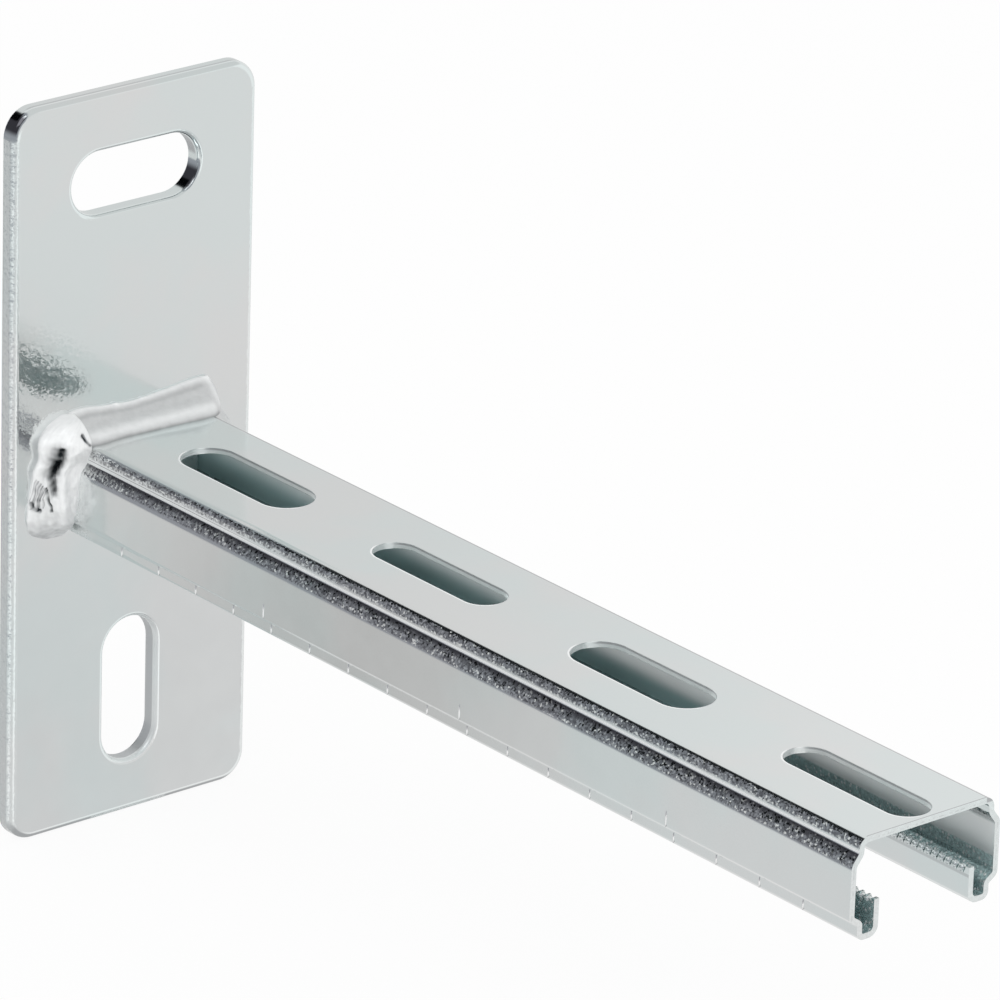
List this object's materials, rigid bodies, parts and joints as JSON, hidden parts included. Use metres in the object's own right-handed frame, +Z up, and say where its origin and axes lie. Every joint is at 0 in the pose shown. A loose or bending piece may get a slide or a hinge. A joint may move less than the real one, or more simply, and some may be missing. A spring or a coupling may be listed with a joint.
{
  "type": "cantilever strut arm",
  "caption": "Wall arm of zinc-plated steel: an upright plate with a horizontal and a vertical fixing slot, and a slotted C-channel rail welded square to its front.",
  "frame": {"origin": "centre of the wall plate's back face", "axes": "+X out from the wall along the rail, +Y to the right as seen from the wall, +Z up"},
  "size_m": [0.2, 0.05, 0.13],
  "materials": {
    "plate_zinc": "bright zinc plate, satin, hot-rolled sheet",
    "rail_zinc": "bright zinc plate, satin, cold-rolled strip",
    "weld_zinc": "bright zinc plate over a rippled weld bead"
  },
  "bodies": {
    "root": {"base_plate": "plate_zinc", "channel_rail": "rail_zinc", "top_weld": "weld_zinc", "left_weld": "weld_zinc", "right_weld": "weld_zinc"}
  },
  "joints": []
}
